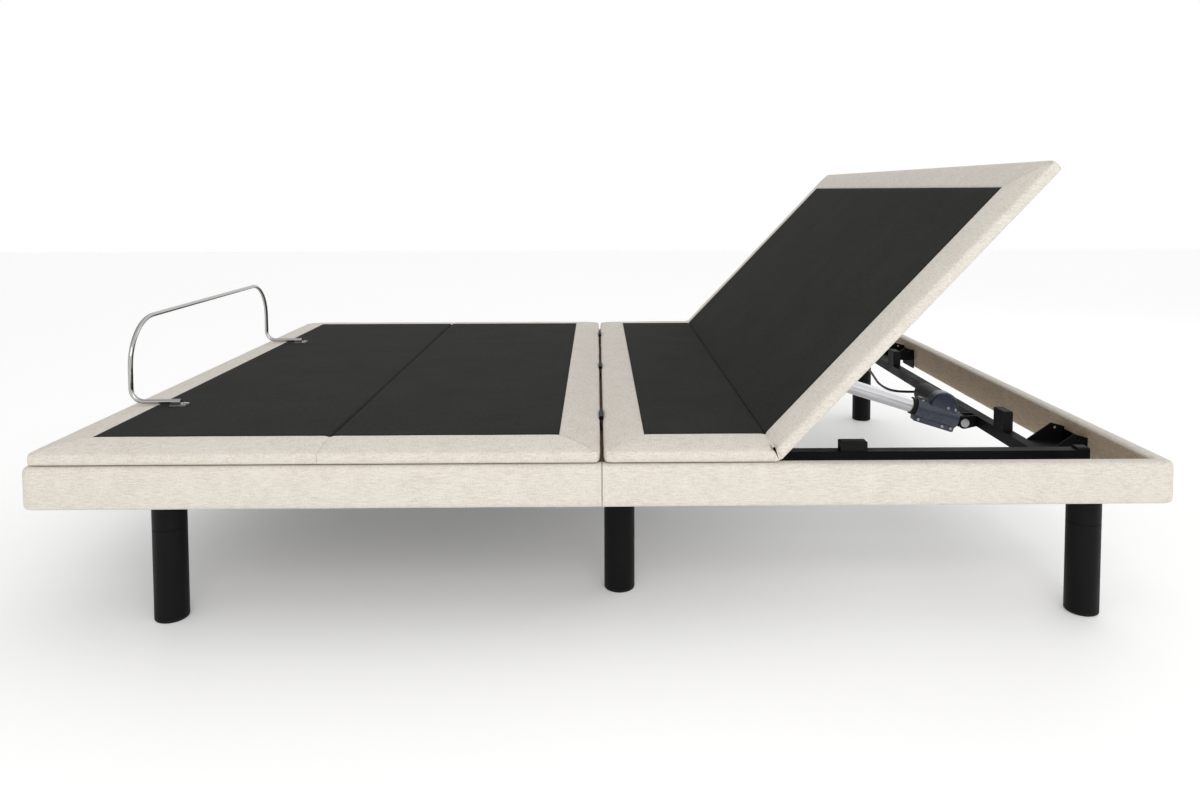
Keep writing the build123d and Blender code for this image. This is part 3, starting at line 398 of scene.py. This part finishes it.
# inset, height above the panel's underside, softness of the spot, depth of the mitre seam there
PAD_PROFILE = [
    (0.0300, 0.0004, 0.0, 0.0), (0.0160, 0.0002, 0.0, 0.0), (0.0070, 0.0003, 0.1, 0.0),
    (0.0026, 0.0012, 0.4, 0.2), (0.0008, 0.0036, 0.7, 0.5), (0.0000, 0.0080, 1.0, 0.8),
    (0.0000, 0.0130, 1.0, 1.0), (0.0003, 0.0166, 1.0, 1.0), (0.0012, 0.0190, 1.0, 1.0),
    (0.0032, 0.0208, 1.0, 1.0), (0.0070, 0.0222, 1.0, 1.0), (0.0130, 0.0238, 1.0, 1.0),
    (0.0210, 0.0256, 1.0, 1.0), (0.0310, 0.0276, 1.0, 1.0), (0.0420, 0.0288, 1.0, 1.0),
    (0.0530, 0.0298, 1.0, 1.0), (0.0630, 0.0305, 0.9, 1.0), (0.0710, 0.0308, 0.6, 0.8),
    (0.0762, 0.0306, 0.3, 0.5), (0.0790, 0.0297, 0.1, 0.2), (0.0800, 0.0280, 0.0, 0.0),
    (0.0812, 0.0255, 0.0, 0.0),
]


def pad_border(name, x_seam, x_end, seed):
    """The padded linen border of one panel."""
    insets = [p[0] for p in PAD_PROFILE]
    rings = border_rings(x_seam, x_end, PANEL_HALF, PAD_CORNER, insets, END_BORDER / BORDER)
    verts, faces = [], []
    for (d, h, soft, seam), ring in zip(PAD_PROFILE, rings):
        for x, y, mitre, from_seam in ring:
            z = PANEL_BOTTOM + h
            groove = (math.exp(-(mitre / 0.0022) ** 2) * 0.0022
                      + math.exp(-(mitre / 0.012) ** 2) * 0.0010)
            lump = rumple((x, y, z), 9.0, 0.0011, seed) + rumple((x, y, z), 31.0, 0.0004, seed + 4)
            edge = math.exp(-(from_seam / 0.006) ** 2) * 0.0035 if from_seam < 0.99 else 0.0
            if d > 0.006:
                z += soft * lump - seam * groove - edge * (0.6 if h > 0.02 else 0.0)
                out = 0.0
            else:
                out = soft * (lump * 0.8 + groove * 0.4)
            if abs(y) > PANEL_HALF - 0.1 and abs(abs(x) - abs(x_end)) > PAD_CORNER:
                y -= math.copysign(out, y)
            else:
                x -= math.copysign(out, x_end - x_seam)
            verts.append((x, y, z))
    count = len(rings[0])
    for i in range(len(rings) - 1):
        for j in range(count - 1):
            a = i * count + j
            faces.append((a, a + 1, a + count + 1, a + count))
    # the two ends at the seam are closed with a turned-in face
    for j in (0, count - 1):
        loop = [i * count + j for i in range(len(rings))]
        faces.append(tuple(loop if j else loop[::-1]))
    # the underside and the seat of the fabric close the ring
    last = (len(rings) - 1) * count
    for j in range(count - 1):
        faces.append((last + j, last + j + 1, j + 1, j))
    # beyond the mitre lines the end borders take a darker copy of the same linen, same weave: painted
    # shade
    on_end_painted_shade = [abs(v[0] - x_end) / END_BORDER < (PANEL_HALF - abs(v[1])) / BORDER for v in verts]
    if name == "head":
        verts = raised(verts)
    made = mesh_object(f"{name}_linen_border", verts, faces, LINEN)
    made.data.materials.append(LINEN_END_PAINTED_SHADE)
    tree = KDTree(len(verts))
    for i, v in enumerate(verts):
        tree.insert(Vector(v), i)
    tree.balance()
    for face in made.data.polygons:
        votes = [on_end_painted_shade[tree.find(made.data.vertices[i].co)[1]] for i in face.vertices]
        face.material_index = 1 if sum(votes) * 2 > len(votes) else 0
    return made


def top_cloth(name, x_seam, x_end, seed):
    """The black fabric of one panel: rolls over the seam edge, tucks in at the border."""
    way = 1 if x_end > x_seam else -1
    x_mat = x_end - way * END_BORDER
    roll = 0.007
    profile = [(x_seam + way * 0.0002, PANEL_TOP - 0.024), (x_seam, PANEL_TOP - 0.015)]
    for k in range(7):
        a = math.pi / 2 * k / 6
        profile.append((x_seam + way * roll * (1 - math.cos(a)), PANEL_TOP - roll * (1 - math.sin(a))))
    inner = abs(x_mat - x_seam) - roll
    steps = max(8, int(inner / 0.014))
    for k in range(1, steps + 1):
        profile.append((x_seam + way * (roll + inner * k / steps), PANEL_TOP))
    profile += [(x_mat + way * 0.0012, PANEL_TOP - 0.0016), (x_mat + way * 0.0014, PANEL_TOP - 0.006)]
    columns = 97
    ys = list(np.linspace(-MAT_HALF, MAT_HALF, columns))
    ys = [-MAT_HALF - 0.0013, -MAT_HALF - 0.0010] + ys + [MAT_HALF + 0.0010, MAT_HALF + 0.0013]
    drops = [0.006, 0.0016] + [0.0] * columns + [0.0016, 0.006]
    verts, faces = [], []
    for x, z in profile:
        for y, drop in zip(ys, drops):
            soft = 1.0 if z > PANEL_TOP - 0.004 else 0.2
            near = 0.0
            if abs(y) < MAT_HALF:
                near = min(1.0, (MAT_HALF - abs(y)) / 0.03, abs(x - x_mat) / 0.03)
            lump = rumple((x, y * 0.7, 0), 3.1, 0.0013, seed)
            lump += rumple((x * 0.5, y, 0), 11.0, 0.0006, seed + 2)
            crease = abs(noise.noise(Vector((x * 4.3 + seed * 3, y * 1.9, seed))))
            lump -= 0.0006 * math.exp(-(crease / 0.035) ** 2)
            verts.append((x, y, z - drop + soft * max(near, 0.0) * lump - 0.0004))
    n = len(ys)
    for i in range(len(profile) - 1):
        for j in range(n - 1):
            a = i * n + j
            faces.append((a, a + 1, a + n + 1, a + n))
    if name == "head":
        verts = raised(verts)
    return mesh_object(f"{name}_top_fabric", verts, faces, TOP_CLOTH)


for k, (panel, (seam, end)) in enumerate(PANELS.items()):
    border = pad_border(panel, seam, end, 3.7 * (k + 1))
    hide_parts(f"{panel}_panel_cover")
    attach(border, BODY_OF[panel])
    cloth = top_cloth(panel, seam, end, 5.3 * (k + 1))
    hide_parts(f"{panel}_panel_mat")
    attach(cloth, BODY_OF[panel])


# ---- fabric folded between the seat and head panels ------------------------------------------------
def fold(name, spans, material):
    """A fabric fold that fills the wedge under the raised panel, over each span of Y."""
    ax, az = HEAD_AXIS
    near_r, far_r = 0.0058, 0.0208
    shape = []
    for k in range(5):
        a = math.radians(92) + (REST_ANGLE - math.radians(4)) * (1 - k / 4)
        shape.append((ax + near_r * math.cos(a), az + near_r * math.sin(a)))
    for k in range(9):
        a = math.radians(-90) + REST_ANGLE * k / 8
        sag = 0.0014 * math.sin(math.pi * k / 8)
        shape.append((ax + (far_r - sag) * math.cos(a), az + (far_r - sag) * math.sin(a)))
    verts, faces, n = [], [], len(shape)
    for y0, y1 in spans:
        steps = max(3, int(abs(y1 - y0) / 0.02))
        first = len(verts)
        for i in range(steps + 1):
            y = y0 + (y1 - y0) * i / steps
            verts += [(x, y, z) for x, z in shape]
        for i in range(steps):
            for k in range(n):
                a, b = first + i * n + k, first + i * n + (k + 1) % n
                faces.append((a, b, b + n, a + n))
        faces.append(tuple(range(first, first + n)))
        faces.append(tuple(range(first + steps * n, first + (steps + 1) * n))[::-1])
    made = mesh_object(name, verts, faces, material)
    made.data.set_sharp_from_angle(angle=math.radians(50))
    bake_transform(made)


fold("head_seam_fabric", [(-MAT_HALF, MAT_HALF)], TOP_CLOTH)
fold("head_seam_linen", [(-PANEL_HALF + 0.0015, -MAT_HALF), (MAT_HALF, PANEL_HALF - 0.0015)],
     LINEN)


# ---- upholstered rails ----------------------------------------------------------------------------
# inset from the rail's outer face (less than 0 stands proud), height above its underside
RAIL_PROFILE = [
    (0.0062, 0.0002), (0.0030, 0.0020), (0.0010, 0.0052), (0.0002, 0.0100),
    (0.0000, 0.0190), (-0.0003, 0.0300), (-0.0004, 0.0420), (-0.0002, 0.0530),
    (0.0000, 0.0620), (0.0004, 0.0680), (0.0020, 0.0725), (0.0052, 0.0750),
    (0.0100, 0.0757), (0.0170, 0.0758), (0.0230, 0.0752), (0.0272, 0.0736),
    (0.0292, 0.0708), (0.0300, 0.0650), (0.0300, 0.0480), (0.0300, 0.0300),
    (0.0300, 0.0160), (0.0298, 0.0060), (0.0285, 0.0012), (0.0240, 0.0001),
    (0.0150, 0.0000),
]


def rail_cover(name, way, seed):
    """The linen cover of one half of the rail, its inner face in a darker, browner copy of the linen:
    painted shade for the shadow inside the rail.
    """
    insets = [max(p[0], 0.0) for p in RAIL_PROFILE]
    rings = border_rings(way * RAIL_JOINT_GAP, way * HALF_L, HALF_W, RAIL_CORNER, insets, 1.0, 9)
    verts, faces = [], []
    for (d, h), ring in zip(RAIL_PROFILE, rings):
        outward = max(0.0, -d)
        for x, y, mitre, from_joint in ring:
            z = RAIL_BOTTOM + h
            lump = rumple((x, y, z), 7.0, 0.0012, seed)
            lump += rumple((x, y, z * 2), 24.0, 0.0005, seed + 1)
            lump -= 0.0008
            if d < 0.004 and from_joint < 0.99:
                lump -= 0.002 * math.exp(-(from_joint / 0.005) ** 2)
            shift = (min(lump, 0.0012) + outward) if d < 0.01 else 0.0
            if abs(y) > HALF_W - 0.045 and abs(x) < HALF_L - RAIL_CORNER:
                y += math.copysign(shift, y)
            elif abs(y) <= HALF_W - RAIL_CORNER:
                x += way * shift
            verts.append((x, y, z))
    count, total = len(rings[0]), len(rings)
    for i in range(total):
        for j in range(count - 1):
            a, b = i * count + j, ((i + 1) % total) * count + j
            faces.append((a, a + 1, b + 1, b))
    for j in (0, count - 1):
        loop = [i * count + j for i in range(total)]
        faces.append(tuple(loop))
    made = mesh_object(f"{name}_rail_linen", verts, faces, LINEN)
    made.data.materials.append(LINEN_INNER_PAINTED_SHADE)
    # the inner faces below the top take the darker, browner copy: painted shade
    for face in made.data.polygons:
        c = face.center
        inner_x, inner_y = HALF_L - RAIL_THICK, HALF_W - RAIL_THICK
        on_side = abs(abs(c.y) - inner_y) < 0.0012 and abs(c.x) < inner_x + 0.002
        on_end = abs(abs(c.x) - inner_x) < 0.0012 and abs(c.y) < inner_y + 0.002
        if (on_side or on_end) and c.z < RAIL_TOP - 0.008:
            face.material_index = 1
    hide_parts(f"{name}_rail_upholstery")
    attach(made, "base")


rail_cover("head", 1, 2.2)
rail_cover("foot", -1, 8.4)

# ---- motors and their cables ----------------------------------------------------------------------
HEAD_MOTOR_PIN = Vector((0.855, -0.231, 0.238))
HEAD_MOTOR_TILT = math.radians(17.5)
# in mm, in the head motor's own frame
HEAD_SCREWS = [(106, 10, 19), (47, 17, 21.5), (29, 17, 22),
               (104, 10, -26), (45, 10, -25), (24, 10, -24)]


def motor_point(x, y, z):
    """A point given in mm in the head motor's own frame, in the shared frame."""
    pin, tilt = HEAD_MOTOR_PIN, HEAD_MOTOR_TILT
    x, y, z = -x / 1000, -y / 1000, z / 1000
    c, s = math.cos(tilt), math.sin(tilt)
    return Vector((pin.x + x * c + z * s, pin.y + y, pin.z - x * s + z * c))


def screw_head(name, place, way, radius, height, material):
    """A low round head with a softened rim and a recess, facing along Y."""
    profile = [(radius, 0), (radius, 0.55 * height), (radius * 0.9, 0.85 * height), (radius * 0.7, height),
               (radius * 0.42, height), (radius * 0.36, 0.5 * height), (0.0001, 0.5 * height)]
    verts, faces, n = [], [], 16
    for r, h in profile:
        for k in range(n):
            a = 2 * math.pi * k / n
            verts.append((place.x + r * math.cos(a), place.y + way * h, place.z + r * math.sin(a)))
    for i in range(len(profile) - 1):
        for k in range(n):
            a, b = i * n + k, i * n + (k + 1) % n
            faces.append((a, b, b + n, a + n))
    made = mesh_object(name, verts, faces, material)
    made.data.set_sharp_from_angle(angle=math.radians(35))
    return made


for k, (x, y, z) in enumerate(HEAD_SCREWS):
    head = screw_head(f"head_motor_screw_{k + 1}", motor_point(x, y, z), -1, 0.0036, 0.0026, ZINC)
    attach(head, "head_motor")

# control points from the motor to the control box
CABLES = {
    "head": [
        (0.8088, -0.113, 0.2777), (0.8088, -0.097, 0.2777), (0.790, -0.080, 0.272),
        (0.766, 0.0, 0.256), (0.766, 0.100, 0.251), (0.790, 0.220, 0.247),
        (0.812, 0.340, 0.246), (0.760, 0.440, 0.245), (0.600, 0.440, 0.240),
        (0.400, 0.250, 0.222), (0.300, 0.070, 0.224), (0.272, 0.060, 0.284),
        (0.246, 0.060, 0.284),
    ],
    "foot": [
        (-0.6934, 0.082, 0.2174), (-0.6934, 0.066, 0.2174), (-0.620, 0.044, 0.226),
        (-0.500, 0.036, 0.232), (-0.330, 0.036, 0.236), (-0.160, 0.038, 0.232),
        (-0.080, 0.040, 0.2185), (0.060, 0.040, 0.2185), (0.112, 0.040, 0.226),
        (0.130, 0.040, 0.240), (0.130, 0.040, 0.260),
    ],
}


def cable(where):
    """A motor's cable to the control box: a tube along a smooth spline."""
    data = bpy.data.curves.new(f"{where}_cable_line", "CURVE")
    data.dimensions = "3D"
    spline = data.splines.new("NURBS")
    points = CABLES[where]
    spline.points.add(len(points) - 1)
    for point, place in zip(spline.points, points):
        point.co = (*place, 1)
    spline.order_u = 3
    spline.use_endpoint_u = True
    data.resolution_u = 12
    line = bpy.data.objects.new(f"{where}_cable_line", data)
    path = [tuple(v.co) for v in bpy.data.meshes.new_from_object(line).vertices]
    data.bevel_depth = CABLE_RADIUS
    data.bevel_resolution = 3
    data.use_fill_caps = True
    mesh = bpy.data.meshes.new_from_object(line)
    bpy.data.objects.remove(line)
    mesh.materials.clear()
    mesh.materials.append(PLASTIC)
    mesh.shade_smooth()
    made = bpy.data.objects.new(f"{where}_motor_lead", mesh)
    bpy.context.scene.collection.objects.link(made)
    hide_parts(f"{where}_motor_cable")
    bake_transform(made)


cable("head")
cable("foot")

# ---- floor, light and camera ----------------------------------------------------------------------
FLOOR_WHITE = new_material("floor", (0.93, 0.93, 0.93), 0.6, Emission_Color=(1, 1, 1, 1),
                           Emission_Strength=0.16)[0]
floor = mesh_object("floor", [(-9, -7, 0), (9, -7, 0), (9, 9, 0), (-9, 9, 0)], [(0, 1, 2, 3)],
                    FLOOR_WHITE, False)

bpy.context.scene.view_settings.view_transform = "Standard"
world = bpy.data.worlds.new("studio")
bpy.context.scene.world = world
world.use_nodes = True
sky = world.node_tree
sky.nodes["Background"].inputs["Color"].default_value = (1, 1, 1, 1)
# the sky is dimmer toward the foot end and above, which keeps the black fabric dark
look = node(sky, "ShaderNodeTexCoord")
toward = node(sky, "ShaderNodeVectorMath", operation="DOT_PRODUCT", in_1=(-0.6, 0.0, 0.8))
shade = node(sky, "ShaderNodeMapRange", in_1=0.5, in_2=1.0, in_3=1.0, in_4=0.52)
sky.links.new(look.outputs["Generated"], toward.inputs[0])
sky.links.new(toward.outputs["Value"], shade.inputs[0])
sky.links.new(shade.outputs[0], sky.nodes["Background"].inputs["Strength"])


def area_light(name, place, aim, size, power, color=(1, 1, 1)):
    """A soft lamp at a place, turned toward its aim."""
    lamp = bpy.data.lights.new(name, "AREA")
    lamp.shape = "RECTANGLE"
    lamp.size, lamp.size_y = size
    lamp.energy = power
    lamp.color = color
    made = bpy.data.objects.new(name, lamp)
    made.location = place
    made.rotation_euler = (Vector(aim) - Vector(place)).to_track_quat("-Z", "Y").to_euler()
    bpy.context.scene.collection.objects.link(made)
    return made


area_light("key", (0.4, -3.4, 2.0), (0.1, -0.5, 0.3), (2.4, 1.2), 26, (1.0, 0.985, 0.96))
area_light("rim", (3.4, 1.6, 2.4), (0.6, 0, 0.4), (1.4, 1.4), 8)

# the camera as fitted to the photo: focal length and centre in pixels of the 1200 by 800 frame
PHOTO_WIDE, PHOTO_HIGH = 1200, 800
FOCAL_PX = 874.8
CENTRE_PX = (606.7, 235.7)
camera = bpy.data.objects.new("camera", bpy.data.cameras.new("camera"))
bpy.context.scene.collection.objects.link(camera)
camera.location = (-0.0072, -2.2704, 0.7866)
camera.rotation_euler = (math.radians(90 - 3), math.radians(0.127), math.radians(-0.628))
camera.data.sensor_width = 36
camera.data.lens = FOCAL_PX / PHOTO_WIDE * camera.data.sensor_width
camera.data.shift_x = -(CENTRE_PX[0] - PHOTO_WIDE / 2) / PHOTO_WIDE
camera.data.shift_y = -(PHOTO_HIGH / 2 - CENTRE_PX[1]) / PHOTO_WIDE
bpy.context.scene.camera = camera
